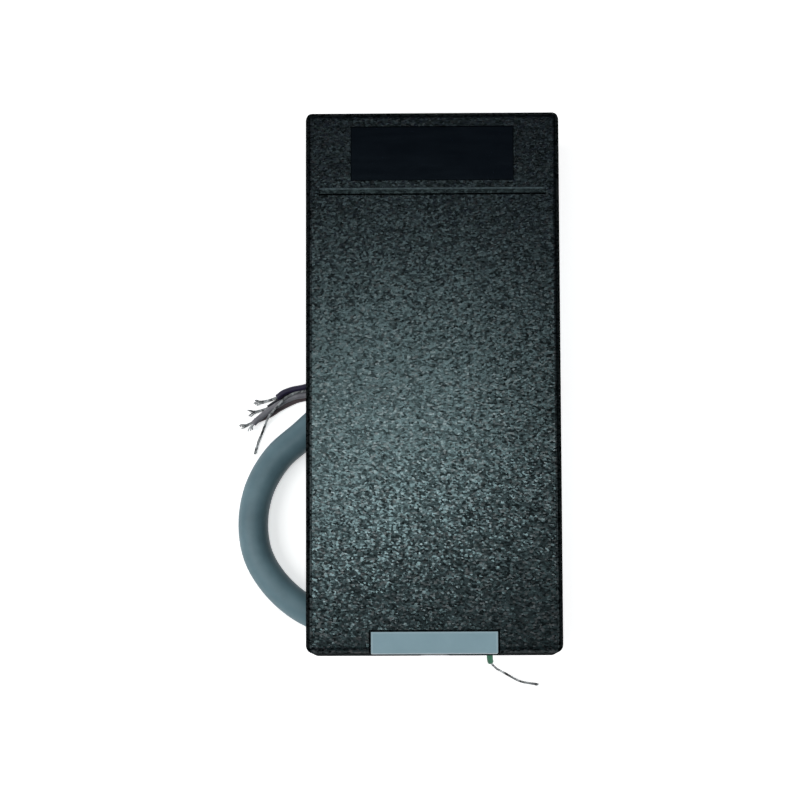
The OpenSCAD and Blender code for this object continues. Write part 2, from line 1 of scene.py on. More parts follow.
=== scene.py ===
"""Narrow wall-mount card reader lying on its folded cable: finishes, cable, conductors and studio."""
import json
import bpy
import numpy as np
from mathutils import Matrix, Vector


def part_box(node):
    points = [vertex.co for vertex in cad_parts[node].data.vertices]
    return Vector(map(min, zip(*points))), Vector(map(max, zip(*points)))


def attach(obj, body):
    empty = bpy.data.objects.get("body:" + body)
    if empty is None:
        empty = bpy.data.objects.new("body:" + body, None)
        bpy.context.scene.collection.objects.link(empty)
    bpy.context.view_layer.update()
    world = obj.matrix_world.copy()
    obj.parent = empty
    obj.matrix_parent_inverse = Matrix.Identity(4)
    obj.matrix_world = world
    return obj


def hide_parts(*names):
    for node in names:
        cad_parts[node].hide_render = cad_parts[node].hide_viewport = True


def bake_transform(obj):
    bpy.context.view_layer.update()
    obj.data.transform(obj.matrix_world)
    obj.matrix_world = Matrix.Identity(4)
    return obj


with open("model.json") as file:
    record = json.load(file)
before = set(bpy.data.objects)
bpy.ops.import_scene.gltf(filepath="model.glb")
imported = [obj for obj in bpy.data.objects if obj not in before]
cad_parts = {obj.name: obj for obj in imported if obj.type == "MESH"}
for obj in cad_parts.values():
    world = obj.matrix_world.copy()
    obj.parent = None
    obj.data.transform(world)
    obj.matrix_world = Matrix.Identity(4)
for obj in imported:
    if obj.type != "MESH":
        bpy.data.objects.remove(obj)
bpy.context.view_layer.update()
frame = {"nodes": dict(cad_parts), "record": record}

MM = 0.001
ROOT = "root"

# Levels and places taken from the frame
floor_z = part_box("cord_hank")[0].z
cable_radius = (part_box("cord_hank")[1].z - floor_z) / 2
cable_z = floor_z + cable_radius
wire_d = 1.2 * MM


# ---------------------------------------------------------------- shapes

def new_object(name, data):
    """An object with that data, linked into the scene."""
    obj = bpy.data.objects.new(name, data)
    bpy.context.scene.collection.objects.link(obj)
    return obj


def as_mesh(name, points, faces):
    """A smooth-shaded mesh object from points and faces, turned so that its faces point outwards."""
    points = np.asarray(points, float)
    mesh = bpy.data.meshes.new(name)
    mesh.from_pydata(points, [], [list(map(int, f)) for f in faces])
    mesh.update()
    mesh.calc_loop_triangles()
    corners = np.empty(len(mesh.loop_triangles) * 3, int)
    mesh.loop_triangles.foreach_get("vertices", corners)
    a, b, c = (points[corners[k::3]] for k in range(3))
    if np.einsum("ij,ij->i", a, np.cross(b, c)).sum() < 0:
        mesh.flip_normals()
    mesh.polygons.foreach_set("use_smooth", np.ones(len(mesh.polygons), bool))
    return new_object(name, mesh)


def grid_faces(rows, columns, closed=False):
    """Quads of a grid whose columns close on themselves, and whose rows do too if closed says so."""
    r, c = np.meshgrid(np.arange(rows if closed else rows - 1), np.arange(columns), indexing="ij")
    after = (c + 1) % columns
    next_row = (r + 1) % rows
    quads = np.stack([r * columns + c, next_row * columns + c,
                      next_row * columns + after, r * columns + after], -1)
    return quads.reshape(-1, 4)


def closed_tube(rings, start=0):
    """Points and faces of stacked rings, an array (rows, columns, 3), with a fan at each end."""
    rows, columns, _ = rings.shape
    points = np.concatenate([rings.reshape(-1, 3), rings[:1].mean(1), rings[-1:].mean(1)])
    k = np.arange(columns)
    after = (k + 1) % columns
    last = (rows - 1) * columns
    near = np.stack([k, after, np.full(columns, rows * columns)], -1)
    far = np.stack([last + after, last + k, np.full(columns, rows * columns + 1)], -1)
    faces = [*grid_faces(rows, columns), *near, *far]
    return points, [np.asarray(f) + start for f in faces]


def unit(v):
    """The vectors, each at a length of 1."""
    return v / np.linalg.norm(v, axis=-1, keepdims=True)


def smooth_route(points, step):
    """Cubic curve through the points, with slopes from their neighbours, in equal steps of length."""
    points = np.asarray(points, float)
    chord = np.concatenate([[0], np.cumsum(np.linalg.norm(np.diff(points, axis=0), axis=1))])
    slope = np.gradient(points, chord, axis=0)
    s = np.linspace(0, chord[-1], max(60, int(chord[-1] / step) * 4))
    i = np.clip(np.searchsorted(chord, s, side="right") - 1, 0, len(chord) - 2)
    h = (chord[i + 1] - chord[i])[:, None]
    t = ((s - chord[i]) / h[:, 0])[:, None]
    curve = ((1 + 2 * t) * (1 - t) ** 2 * points[i] + t * (1 - t) ** 2 * h * slope[i]
             + t * t * (3 - 2 * t) * points[i + 1] - t * t * (1 - t) * h * slope[i + 1])
    return equal_steps(curve, step)


def equal_steps(curve, step):
    """The same curve, with its points a step apart."""
    length = np.concatenate([[0], np.cumsum(np.linalg.norm(np.diff(curve, axis=0), axis=1))])
    s = np.linspace(0, length[-1], max(8, int(round(length[-1] / step)) + 1))
    return np.stack([np.interp(s, length, curve[:, k]) for k in range(3)], -1)


def frames(route):
    """Direction of the route, and the sideways and upward directions across it, at each point."""
    along = unit(np.gradient(route, axis=0))
    side = unit(np.cross(along, [0, 0, 1.0]))
    return along, side, np.cross(side, along)


def rings_along(route, radii, columns):
    """Circles across a route, with one radius for all or one for each."""
    _, side, up = frames(route)
    angle = np.linspace(0, 2 * np.pi, columns, endpoint=False)
    radii = np.broadcast_to(radii, len(route))[:, None, None]
    across = np.cos(angle)[None, :, None] * side[:, None]
    above = np.sin(angle)[None, :, None] * up[:, None]
    return route[:, None] + radii * (across + above)


def end_rings(route, columns, radius, forward, profile):
    """Circles at the end of a route. Each row of the profile is a share of the radius, and a way forward
    in mm."""
    _, side, up = frames(route)
    angle = np.linspace(0, 2 * np.pi, columns, endpoint=False)
    circle = np.cos(angle)[:, None] * side[-1] + np.sin(angle)[:, None] * up[-1]
    return np.array([route[-1] + forward * way * MM + circle * share * radius for share, way in profile])


def many_tubes(name, ring_sets):
    """One object from several closed tubes."""
    points, faces = [], []
    count = 0
    for rings in ring_sets:
        p, f = closed_tube(rings, count)
        points.append(p)
        faces += f
        count += len(p)
    return as_mesh(name, np.concatenate(points), faces)


# ---------------------------------------------------------------- camera

def make_camera():
    """Nearly overhead, a little towards the reader's bottom edge."""
    data = bpy.data.cameras.new("camera")
    data.lens = 131.4
    data.sensor_width = 36
    data.clip_start = 0.05
    data.clip_end = 20
    camera = new_object("camera", data)
    camera.location = (0.00139, -0.0630, 0.560)
    camera.rotation_euler = np.radians((6.157, 0.825, -0.208))
    bpy.context.scene.camera = camera


make_camera()


# ---------------------------------------------------------------- cable

# Route points are those of the CAD tubes; the folded turns are worked out
lead_points = np.array([
    (-5, 6.1, -0.9), (-5, 4.4, -0.95), (-5.3, 0.3, -2.4), (-6.6, -5.2, -6.2), (-8.8, -10.5, -10.7),
    (-11.4, -15.6, -14.4), (-13.8, -20, -16.3), (-14.6, -23.2, -16.5), (-14.6, -24.4, -16.5)]) * MM
loop_points = np.array([
    (-14.6, 13), (-15.1, 7.6), (-17, 2.4), (-20.6, -2.6), (-25.6, -7.4),
    (-31, -12.2), (-34.6, -18.4), (-35.8, -25), (-34.8, -31.6), (-31.4, -37.2),
    (-25.8, -42), (-18.4, -44.8), (-9, -45.6), (0, -45.2)]) * MM
fold_top_y = 27 * MM
fold_bottom_y = -24.4 * MM
outer_turn = 20.8 * MM
inner_turn = 14.6 * MM
jacket_end_y = 21 * MM
tie_middle_y = 2 * MM
tie_reach = 5 * MM
tie_rise = 0.8 * MM
tied_from_x = 8 * MM
cable_columns = 40
tube_radius = cable_radius * 0.99
lead_step = 1.0 * MM
jacket_step = 1.2 * MM
jacket_wave = 0.006
jacket_cut = [(0.985, 0.0), (0.95, 0.12), (0.88, 0.18), (0.80, 0.14), (0.76, 0.0), (0.75, -1.6)]


def arc(centre_y, radius, start, end, count=12):
    """Points of a circle about (0, centre_y), from one angle to another in degrees."""
    a = np.radians(np.linspace(start, end, count))
    return np.stack([radius * np.cos(a), centre_y + radius * np.sin(a)], -1)


def run(x, start_y, end_y, count=6):
    """Straight run of a turn, without its two end points."""
    y = np.linspace(start_y, end_y, count + 2)[1:-1]
    return np.stack([np.full(count, x), y], -1)


def jacket_route():
    """Inner turn, the loop past the left edge, then the outer turn, all flat on the surface."""
    flat = np.concatenate([
        arc(fold_bottom_y, inner_turn, 180, 360),
        run(inner_turn, fold_bottom_y, fold_top_y),
        arc(fold_top_y, inner_turn, 0, 180),
        run(-inner_turn, fold_top_y, loop_points[0, 1], 2),
        loop_points,
        arc(fold_bottom_y, outer_turn, 270, 360)[1:],
        run(outer_turn, fold_bottom_y, fold_top_y),
        arc(fold_top_y, outer_turn, 0, 180),
        [(-outer_turn, jacket_end_y)]])
    route = smooth_route(np.column_stack([flat, np.full(len(flat), cable_z)]), jacket_step)
    near_tie = np.exp(-((route[:, 1] - tie_middle_y) / tie_reach) ** 2) * (route[:, 0] > tied_from_x)
    route[:, 2] += tie_rise * near_tie
    return route


def make_lead():
    """First stretch of cable, from the strain relief down to the surface."""
    route = smooth_route(lead_points, lead_step)
    return many_tubes("cable_lead", [rings_along(route, tube_radius, cable_columns)]), route


def make_jacket():
    """The rest of the cable. Its far end is a cut jacket: a rounded lip, then a short hollow."""
    route = jacket_route()
    slow_wave = 1 + jacket_wave * np.sin(np.linspace(0, 46, len(route)))
    rings = rings_along(route, tube_radius * slow_wave, cable_columns)
    end = end_rings(route, cable_columns, cable_radius, frames(route)[0][-1], jacket_cut)
    return many_tubes("cable_jacket", [np.concatenate([rings, end])]), route


# ---------------------------------------------------------------- cable tie

tie_strap = 3.6 * MM
tie_thickness = 0.76 * MM
tie_tooth = 1.1 * MM
head_out = 3.0 * MM
head_half = 1.6 * MM


def squared(angle, power):
    """Cosine and sine of the angle, pushed out towards a square with rounded corners."""
    c, s = np.cos(angle), np.sin(angle)
    return np.sign(c) * np.abs(c) ** power, np.sign(s) * np.abs(s) ** power


def strap_loop(left, right, low, high):
    """Strap laid round two runs of cable. Its path is a straight line, a half circle, a straight line and a
    half circle; across it is a flat rounded bar, thinner between its rims, with low teeth across it."""
    radius = (high - low) / 2
    middle_z = (high + low) / 2
    half = np.pi * radius
    flat = right - left - 2 * radius
    along = np.linspace(0, 2 * (half + flat), 240, endpoint=False)[:, None]
    corners = [0, flat, flat + half, 2 * flat + half, 2 * (flat + half)]
    turn = np.interp(along, corners, np.radians([90, 90, -90, -90, -270]))
    x = np.interp(along, corners,
                  [left + radius, right - radius, right - radius, left + radius, left + radius])
    out, across = squared(np.linspace(0, 2 * np.pi, 48, endpoint=False), 0.3)
    between_rims = np.abs(across) < 0.72
    tooth = 0.5 + 0.5 * np.cos(2 * np.pi * along / tie_tooth)
    thinner = (out > 0.5) * between_rims * (0.16 + 0.2 * tooth)
    reach = radius + tie_thickness / 2 * (out - thinner)
    y = np.broadcast_to(tie_middle_y + across * tie_strap / 2, reach.shape)
    return np.stack([x + reach * np.cos(turn), y, middle_z + reach * np.sin(turn)], -1)


def rounded_block(low, high, power=0.28):
    """Block with softly rounded edges: a sphere whose circles are pushed out towards squares."""
    low, high = np.array(low), np.array(high)
    up_c, up_s = squared(np.radians(np.linspace(-88, 88, 26))[:, None], power)
    round_c, round_s = squared(np.linspace(0, 2 * np.pi, 44, endpoint=False)[None, :], power)
    shape = np.stack(np.broadcast_arrays(up_c * round_c, up_c * round_s, up_s), -1)
    return (low + high) / 2 + shape * (high - low) / 2


def make_tie():
    """Cable tie round the folded cable: strap, head with a raised lip, and trimmed tail."""
    low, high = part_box("cable_tie")
    half_t = tie_thickness / 2
    loop = strap_loop(low.x + head_out + half_t, high.x - half_t, low.z + half_t, high.z - half_t)
    head_z = (low.z + high.z) / 2
    head_low = np.array([low.x, low.y, head_z - head_half])
    head_high = np.array([low.x + head_out + 0.1 * MM, high.y, head_z + head_half])
    head = rounded_block(head_low, head_high)
    lip = rounded_block(head_low + np.array([0.5, 0.6, 3.0]) * MM,
                        head_high + np.array([-0.7, -0.6, 0.25]) * MM)
    tail = rounded_block((low.x + 1.1 * MM, tie_middle_y - head_half, head_z - 2.2 * MM),
                         (low.x + 1.8 * MM, tie_middle_y + head_half, head_z + 2.7 * MM), 0.2)
    points, faces = [loop.reshape(-1, 3)], [*grid_faces(*loop.shape[:2], closed=True)]
    count = len(points[0])
    for block in (head, lip, tail):
        p, f = closed_tube(block, count)
        points.append(p)
        faces += f
        count += len(p)
    return as_mesh("cable_tie_strap", np.concatenate(points), faces)


# ---------------------------------------------------------------- conductors

# x, y, z in mm of the points along each conductor: first those inside its insulation, then the bare ones
wire_points = {
    "violet": (
        [(-21.7, 21, -17.3), (-21.7, 15, -17.5), (-21.8, 9, -17.6), (-22.3, 5, -17.6),
         (-23.6, 2.8, -17.6), (-25.8, 2, -17.6), (-28.3, 1.5, -17.6), (-29.9, 0.9, -17.6),
         (-31.2, 0, -17.8)],
        [(-32, -0.3, -18.1), (-33.2, -0.6, -18.9), (-35.9, -1, -19.2)]),
    "black": (
        [(-21.2, 21, -18.5), (-21.1, 15, -18.8), (-21.2, 9, -18.85), (-21.7, 4.6, -18.85),
         (-23.3, 2.1, -18.85), (-25.8, 1.3, -18.85), (-28.3, 0.8, -18.85), (-30, 0.1, -18.85),
         (-31.6, -1.1, -18.85), (-33, -2, -18.85)],
        [(-34.2, -2.4, -19.1), (-37, -3.1, -19.2)]),
    "grey": (
        [(-20.2, 21, -17.1), (-20.2, 15, -17.5), (-20.3, 9, -17.6), (-20.9, 4.2, -17.6),
         (-22.6, 1.4, -17.6), (-25.4, 0.5, -17.6), (-27.6, 0.1, -17.6), (-29.4, -0.6, -17.6),
         (-31, -1.5, -17.6), (-32.6, -2.5, -17.6), (-34.4, -3.9, -17.6), (-35.8, -5.2, -17.6)],
        [(-36.1, -5.6, -17.8), (-36.6, -6.5, -18.5)]),
    "brown": (
        [(-19.9, 21, -18.35), (-19.8, 15, -18.8), (-19.9, 9, -18.85), (-20.4, 4, -18.85),
         (-22.2, 0.9, -18.85), (-25.4, 0, -18.85), (-27.4, -0.5, -18.85), (-29.2, -1.3, -18.85),
         (-30.9, -2.2, -18.85), (-32.6, -3.3, -18.85), (-34.2, -4, -18.85), (-35.6, -4.6, -18.85)],
        [(-36.4, -5, -19.05), (-38.5, -5.9, -19.2)]),
    "drain": (
        [],
        [(-20.95, 21, -16.4), (-20.95, 15, -16.8), (-21.1, 9, -16.95), (-21.6, 4.6, -16.95),
         (-23.2, 2.1, -16.95), (-25.8, 1.2, -16.95), (-28, 0.6, -16.85), (-29.4, -0.2, -16.6),
         (-30.6, -1.4, -16.6), (-31.9, -2.8, -16.7), (-32.9, -4, -17.6), (-33.6, -5.4, -18.8),
         (-34.1, -6.6, -19.2), (-34.9, -8.6, -19.2), (-35.7, -11.2, -19.2)]),
    "green": (
        [(-20.8, 21, -15), (-20.8, 17, -13.4), (-19.4, 12.4, -12.7), (-16.8, 8.6, -12.7),
         (-13.4, 5.6, -12.7), (-10.2, 2.4, -14.6), (-6.4, -2.2, -18.2), (-2, -9, -18.85),
         (0.6, -19, -18.85), (2, -28, -18.4), (3, -32.6, -14.6), (4.2, -36.6, -12.7),
         (7, -43, -12.7), (10, -48.6, -12.8), (10.7, -51.2, -14), (10.9, -52.6, -15.2)],
        [(11.7, -53.6, -16.6), (13.9, -54.9, -18.4), (17, -56.5, -19.1), (20.4, -57.1, -19.2)]),
}
route_step = 0.25 * MM
strand_r = 0.1 * MM
drain_strand_r = 0.08 * MM
strand_count = 7
strand_columns = 7
strand_pitch = 2.4 * MM
open_fray = 0.7
closed_fray = 0.08
thin_stranded = ("drain", "green")
sleeve_columns = 20
sleeve_cut = [(0.95, 0.05), (0.8, 0.08), (0.7, 0.0), (0.68, -0.5)]
first_seed = 7


def split_route(name):
    """Whole route of a conductor, and the number of its points that the insulation covers."""
    insulated, bare = wire_points[name]
    route = smooth_route(np.array([*insulated, *bare], float) * MM, route_step)
    cut = 0
    if insulated:
        last = np.array(insulated[-1], float) * MM
        cut = int(np.argmin(np.linalg.norm(route - last, axis=1))) + 1
    thickness = np.where(np.arange(len(route)) < cut + 2, wire_d / 2, 3 * strand_r)
    route[:, 2] = np.maximum(route[:, 2], floor_z + thickness)
    return route, cut


def insulation_rings(stretch):
    """Insulated stretch of a conductor: circles along it, then a rounded cut end round the strands."""
    rings = rings_along(stretch, wire_d / 2, sleeve_columns)
    end = end_rings(stretch, sleeve_columns, wire_d / 2, unit(stretch[-1] - stretch[-3]), sleeve_cut)
    return np.concatenate([rings, end])


def strand_rings(bare, seed, fray, radius):
    """Thin strands laid in a twist about the bare stretch. The last is its core, and the others open out
    towards the tip."""
    _, side, up = frames(bare)
    share = np.linspace(0, 1, len(bare))
    random = np.random.default_rng(seed)
    twist = np.arange(len(bare)) * route_step / strand_pitch * 2 * np.pi
    core = strand_count - 1
    sets = []
    for k in range(strand_count):
        lay = 0.0 if k == core else 1.9 * radius
        loose = fray * MM * random.uniform(0.2, 1.0) * np.clip(share - 0.5, 0, 1) ** 2 * 4
        angle = k * np.pi / 3 + twist * (1 - 0.25 * share)
        outward = np.cos(angle)[:, None] * side + np.sin(angle)[:, None] * up
        path = bare + (lay + loose)[:, None] * outward
        path[:, 2] = np.maximum(path[:, 2], floor_z + radius)
        end = len(path) - (0 if k == core else k % 3)
        sets.append(rings_along(path[:end], radius, strand_columns))
    return sets


def make_conductor(name, route, cut, seed):
    """One conductor: its insulated stretch, then its bare strands, as one mesh with a finish for each."""
    fray, radius = (closed_fray, drain_strand_r) if name in thin_stranded else (open_fray, strand_r)
    strands = strand_rings(route[max(cut - 3, 0):], seed, fray, radius)
    if not cut:
        wire = many_tubes("conductor_" + name, strands)
        finish_piece(wire, "tinned_strand", ROOT)
        return wire
    sleeve = insulation_rings(route[:cut])
    wire = many_tubes("conductor_" + name, [sleeve, *strands])
    finish_piece(wire, name + "_wire", ROOT)
    wire.data.materials.append(made_finishes["tinned_strand"])
    sleeve_faces = len(closed_tube(sleeve)[1])
    bare = np.arange(len(wire.data.polygons)) >= sleeve_faces
    wire.data.polygons.foreach_set("material_index", bare.astype("i"))
    return wire


# ---------------------------------------------------------------- shader maths

class Value:
    """A number on a shader socket. Sums and products of it add Math nodes."""

    def __init__(self, finish, socket):
        self.finish = finish
        self.socket = socket

    def maths(self, operation, *others):
        """A Math node with the number first."""
        return self.finish.node("ShaderNodeMath", {"operation": operation}, self, *others).value()

    def __add__(self, other):
        return self.maths("ADD", other)

    def __mul__(self, other):
        return self.maths("MULTIPLY", other)

    def __sub__(self, other):
        return self.maths("SUBTRACT", other)

    def __rsub__(self, other):
        return self.finish.node("ShaderNodeMath", {"operation": "SUBTRACT"}, other, self).value()

    def __pow__(self, other):
        return self.maths("POWER", other)

    __radd__ = __add__
    __rmul__ = __mul__

    def clipped(self):
        """The number, held between 0 and 1."""
        return self.finish.node("ShaderNodeClamp", {}, self).value()

    def size(self):
        """The number without its sign."""
        return self.maths("ABSOLUTE")

    def stepped(self, low, high):
        """0 below low, 1 above high, and a smooth rise between."""
        settings = {"interpolation_type": "SMOOTHSTEP"}
        return self.finish.node("ShaderNodeMapRange", settings, self, low, high, 0.0, 1.0).value()


class Node:
    """A shader node whose outputs are asked for by name."""

    def __init__(self, finish, made):
        self.finish = finish
        self.made = made

    def value(self, output=0):
        return Value(self.finish, self.made.outputs[output])


class Finish:
    """A material: one shader, and the nodes that vary its colour, roughness and bump."""

    def __init__(self, name, **constants):
        self.material = bpy.data.materials.new(name)
        self.material.use_nodes = True
        self.tree = self.material.node_tree
        self.shader = self.tree.nodes["Principled BSDF"]
        for socket, value in constants.items():
            self.shader.inputs[socket.replace("_", " ")].default_value = value
        self.place = self.node("ShaderNodeTexCoord", {}).value("Object")

    def node(self, kind, settings, *inputs, **named):
        """A node of that type; settings first, then the values or links of its sockets."""
        made = self.tree.nodes.new(kind)
        for key, value in settings.items():
            setattr(made, key, value)
        for key, value in [*enumerate(inputs), *named.items()]:
            socket = made.inputs[key if isinstance(key, int) else key.replace("_", " ")]
            if isinstance(value, Value):
                self.tree.links.new(value.socket, socket)
            else:
                socket.default_value = value
        return Node(self, made)

    def axes(self):
        """The three coordinates of the place on the piece."""
        parts = self.node("ShaderNodeSeparateXYZ", {}, self.place)
        return [parts.value(k) for k in range(3)]

    def noise(self, scale, detail=2.0, roughness=0.5, place=None):
        """Cloudy random number between 0 and 1."""
        return self.node("ShaderNodeTexNoise", {}, Vector=place or self.place, Scale=scale,
                         Detail=detail, Roughness=roughness).value("Fac")

    def vectors(self, operation, first, second, output="Vector"):
        """Vector Math on two vectors or colours."""
        return self.node("ShaderNodeVectorMath", {"operation": operation}, first, second).value(output)

    def facets(self, scale):
        """Flat facets, wider than they are long, that each tilt their own way.

        Gives the height of the surface, and three random numbers a facet. The height is the way from the
        facet's centre, multiplied by a random tilt."""
        place = self.stretched(facet_stretch)
        cells = self.node("ShaderNodeTexVoronoi", {}, Vector=place, Scale=scale)
        tilt = self.vectors("SUBTRACT", cells.value("Color"), (0.5, 0.5, 0.5))
        way = self.vectors("SUBTRACT", place, cells.value("Position"))
        split = self.node("ShaderNodeSeparateColor", {}, cells.value("Color"))
        height = self.vectors("DOT_PRODUCT", way, tilt, "Value")
        return height, split.value("Red"), split.value("Green"), split.value("Blue")

    def stretched(self, scale):
        """The place, with each of its coordinates multiplied by its own scale."""
        return self.node("ShaderNodeMapping", {}, Vector=self.place, Scale=scale).value()

    def mixed(self, factor, first, second):
        """Colour between two colours: the first where the factor is 0, the second where it is 1."""
        mix = self.node("ShaderNodeMix", {"data_type": "RGBA"})
        for index, value in ((0, factor), (6, first), (7, second)):
            socket = mix.made.inputs[index]
            if isinstance(value, Value):
                self.tree.links.new(value.socket, socket)
            else:
                socket.default_value = (*value, 1)
        return mix.value(2)

    def put(self, socket, value):
        """Links a value to that socket of the shader."""
        self.tree.links.new(value.socket, self.shader.inputs[socket])

    def bump(self, height, distance, strength=1.0):
        """Tilts the surface's normal by that height."""
        made = self.node("ShaderNodeBump", {}, Strength=strength, Distance=distance, Height=height)
        self.put("Normal", made.value("Normal"))

    def grazed(self):
        """1 where the surface is seen at a grazing angle."""
        return self.node("ShaderNodeLayerWeight", {}, Blend=0.5).value("Facing").stepped(0.6, 0.9)

    def dull(self, share, colour):
        """Takes that share of the gloss away."""
        matt = self.node("ShaderNodeBsdfPrincipled", {}, Base_Color=colour, Roughness=1.0,
                         Specular_IOR_Level=0.0)
        mix = self.node("ShaderNodeMixShader", {}, share, Value(self, self.shader.outputs[0]), matt.value())
        self.tree.links.new(mix.value().socket, self.tree.nodes["Material Output"].inputs["Surface"])


def srgb(r, g, b):
    """Colour written as 0 to 255 levels, as the linear numbers that sockets take."""
    c = np.array((r, g, b)) / 255
    linear = np.where(c <= 0.04045, c / 12.92, ((c + 0.055) / 1.055) ** 2.4)
    return tuple(float(x) for x in linear)


# ---------------------------------------------------------------- finishes

# Facets a metre of the grain, and how far it is stretched along each axis
housing_facets = 3100
bar_facets = 2700
facet_stretch = (0.72, 1.12, 1.0)
edge_radius = 1.2 * MM
# Near-black of the grain's dark facets; the same colour is painted on the housing's rounded edges as shade
dark_grain_and_edge_shade = srgb(3, 5, 6)
cool_gloss = (0.72, 0.96, 1.0, 1.0)


def housing_finish():
    """Charcoal plastic with a spark-eroded grain, as facets of about 0.3 mm with a tilt each.

    The rounded edges are smooth, and their colour is painted nearly black as shade. Towards the top the
    colour is painted darker and bluer as shade. The walls lose their gloss where they are grazed."""
    f = Finish("housing_plastic", Specular_IOR_Level=0.3, Specular_Tint=cool_gloss, Coat_Roughness=0.3)
    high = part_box("front_cover")[1]
    radius = edge_radius
    x, y, z = f.axes()
    at_side = x.size().stepped(high.x - radius * 0.95, high.x - radius * 0.6)
    at_top = y.stepped(high.y - radius * 0.95, high.y - radius * 0.6)
    at_foot = (y * -1.0).stepped(high.y - radius * 0.95, high.y - radius * 0.6)
    above = z.stepped(high.z - radius * 1.5, high.z - radius * 1.2)
    # Band of the rounded edges: smooth, and painted near-black as shade
    edge = (at_side + at_top).clipped() * above
    wall = 1 - z.stepped(high.z - radius * 0.8, high.z - radius * 0.25)
    slant, grit, other_grit, third_grit = f.facets(housing_facets)
    patches = f.noise(60, 3.0, 0.6)
    # Top part of the housing, whose colour is painted darker and bluer as shade; it also gets less coat and
    # bump
    shaded_top_zone = y.stepped(-18 * MM, 38 * MM)
    warm = third_grit.stepped(0.55, 0.9)
    pale = f.mixed(warm * 0.6, srgb(20, 30, 32), srgb(38, 30, 36))
    # Painted shade: towards the top the grain colours are darker and bluer
    pale = f.mixed(shaded_top_zone, pale, f.mixed(warm, srgb(9, 11, 22), srgb(22, 17, 20)))
    grained = f.mixed(grit.stepped(0.2, 0.95), dark_grain_and_edge_shade, pale)
    grained = f.mixed(patches.stepped(0.35, 0.75) * 0.15, grained, srgb(16, 19, 23))
    # Painted shade: the rounded edges take the near-black colour
    colour = f.mixed(edge, grained, dark_grain_and_edge_shade)
    f.put("Base Color", colour)
    f.put("Coat Weight", third_grit.stepped(0.78, 0.95) * (1 - edge) * (1 - wall) * (0.9 - shaded_top_zone * 0.8))
    dark_facets = (1 - grit.stepped(0.1, 0.45)) * 0.57
    share = edge * 0.8 + at_foot * above * 0.4 + wall * f.grazed() * 0.8 + dark_facets
    f.dull(share.clipped(), colour)
    rough = 0.14 + other_grit * 0.13 + patches * 0.02
    f.put("Roughness", (rough * (1 - edge) + edge * 0.15 + wall * 0.6).clipped())
    f.bump(slant * (1 - edge * 0.94) * (1 - shaded_top_zone * 0.25), 0.087)
    return f.material


def panel_finish():
    """Smooth near-black plastic with a faint orange-peel and light handling marks."""
    f = Finish("smooth_panel", Specular_IOR_Level=0.18, Specular_Tint=(0.6, 0.8, 1.0, 1.0))
    marks = f.noise(170, 4.0, 0.65)
    streaks = f.noise(420, 3.0, 0.6, f.stretched((0.25, 1.6, 1.0)))
    f.put("Base Color", f.mixed(marks, srgb(2, 4, 8), srgb(7, 11, 17)))
    f.put("Roughness", (0.1 + streaks * 0.12).clipped())
    f.bump(f.noise(520, 1.0), 0.01 * MM, 0.5)
    return f.material


def smoked_finish():
    """Smoked strip, as dark as the housing and slightly cloudy; a paler line along its top is a painted
    highlight.

    Its foot, down in the shadow gap, is dull, and its colour is painted black as shade."""
    f = Finish("smoked_bar", Specular_IOR_Level=0.25, Specular_Tint=(0.72, 0.97, 1.0, 1.0))
    cloud = f.noise(300, 3.0)
    slant, grit, other_grit, _ = f.facets(bar_facets)
    _, y, z = f.axes()
    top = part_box("light_bar")[1].y
    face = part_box("light_bar")[1].z
    # Foot of the strip, down in the shadow gap: its colour is painted black as shade, and it is dulled
    painted_gap_shade = 1 - z.stepped(face - 0.7 * MM, face - 0.4 * MM)
    # Painted highlight: a paler line along the top of the strip
    line = y.stepped(top - 0.4 * MM, top - 0.25 * MM) * (0.4 + cloud)
    strip = f.mixed(grit * 0.6 + cloud * 0.4, srgb(3, 5, 7), srgb(18, 23, 26))
    colour = f.mixed(line.clipped() * 0.5, strip, srgb(80, 92, 97))
    colour = f.mixed(painted_gap_shade, colour, srgb(2, 2, 3))
    f.put("Base Color", colour)
    f.dull(painted_gap_shade * 0.9, colour)
    f.put("Roughness", 0.17 + other_grit * 0.1)
    f.bump(slant, 0.06)
    return f.material


def tab_finish():
    """Pale blue-grey satin plastic with faint mottling, a fine brushed lay, and rims painted paler as
    highlight.
    """
    f = Finish("pale_tab", Specular_IOR_Level=0.4)
    mottle = f.noise(240, 4.0, 0.6)
    lay = f.noise(900, 2.0, 0.5, f.stretched((0.12, 1.0, 1.0)))
    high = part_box("trim_tab")[1]
    x, y, _ = f.axes()
    # Rims at the sides and top: painted paler as a highlight, and a little smoother
    rim_highlight = (x.size().stepped(high.x - 0.45 * MM, high.x - 0.25 * MM)
              + y.stepped(high.y - 0.4 * MM, high.y - 0.2 * MM)).clipped()
    plain = f.mixed(mottle, srgb(114, 142, 152), srgb(130, 157, 168))
    f.put("Base Color", f.mixed(rim_highlight * 0.35, plain, srgb(160, 180, 188)))
    f.put("Roughness", 0.42 + lay * 0.14 - rim_highlight * 0.08)
    f.bump(lay, 0.02 * MM, 0.4)
    return f.material


def jacket_finish():
    """Grey flexible jacket: satin, with faint scuffs and an uneven drawn surface."""
    f = Finish("cable_jacket", Specular_IOR_Level=0.4)
    cloud = f.noise(130, 4.0, 0.55)
    scuff = f.noise(900, 3.0, 0.7).stepped(0.62, 0.78)
    colour = f.mixed(cloud.stepped(0.3, 0.7), srgb(92, 119, 129), srgb(108, 137, 147))
    f.put("Base Color", f.mixed(scuff * 0.35, colour, srgb(122, 142, 147)))
    f.put("Roughness", 0.44 + cloud * 0.12 + scuff * 0.1)
    f.bump(f.noise(420, 3.0), 0.05 * MM, 0.6)
    return f.material


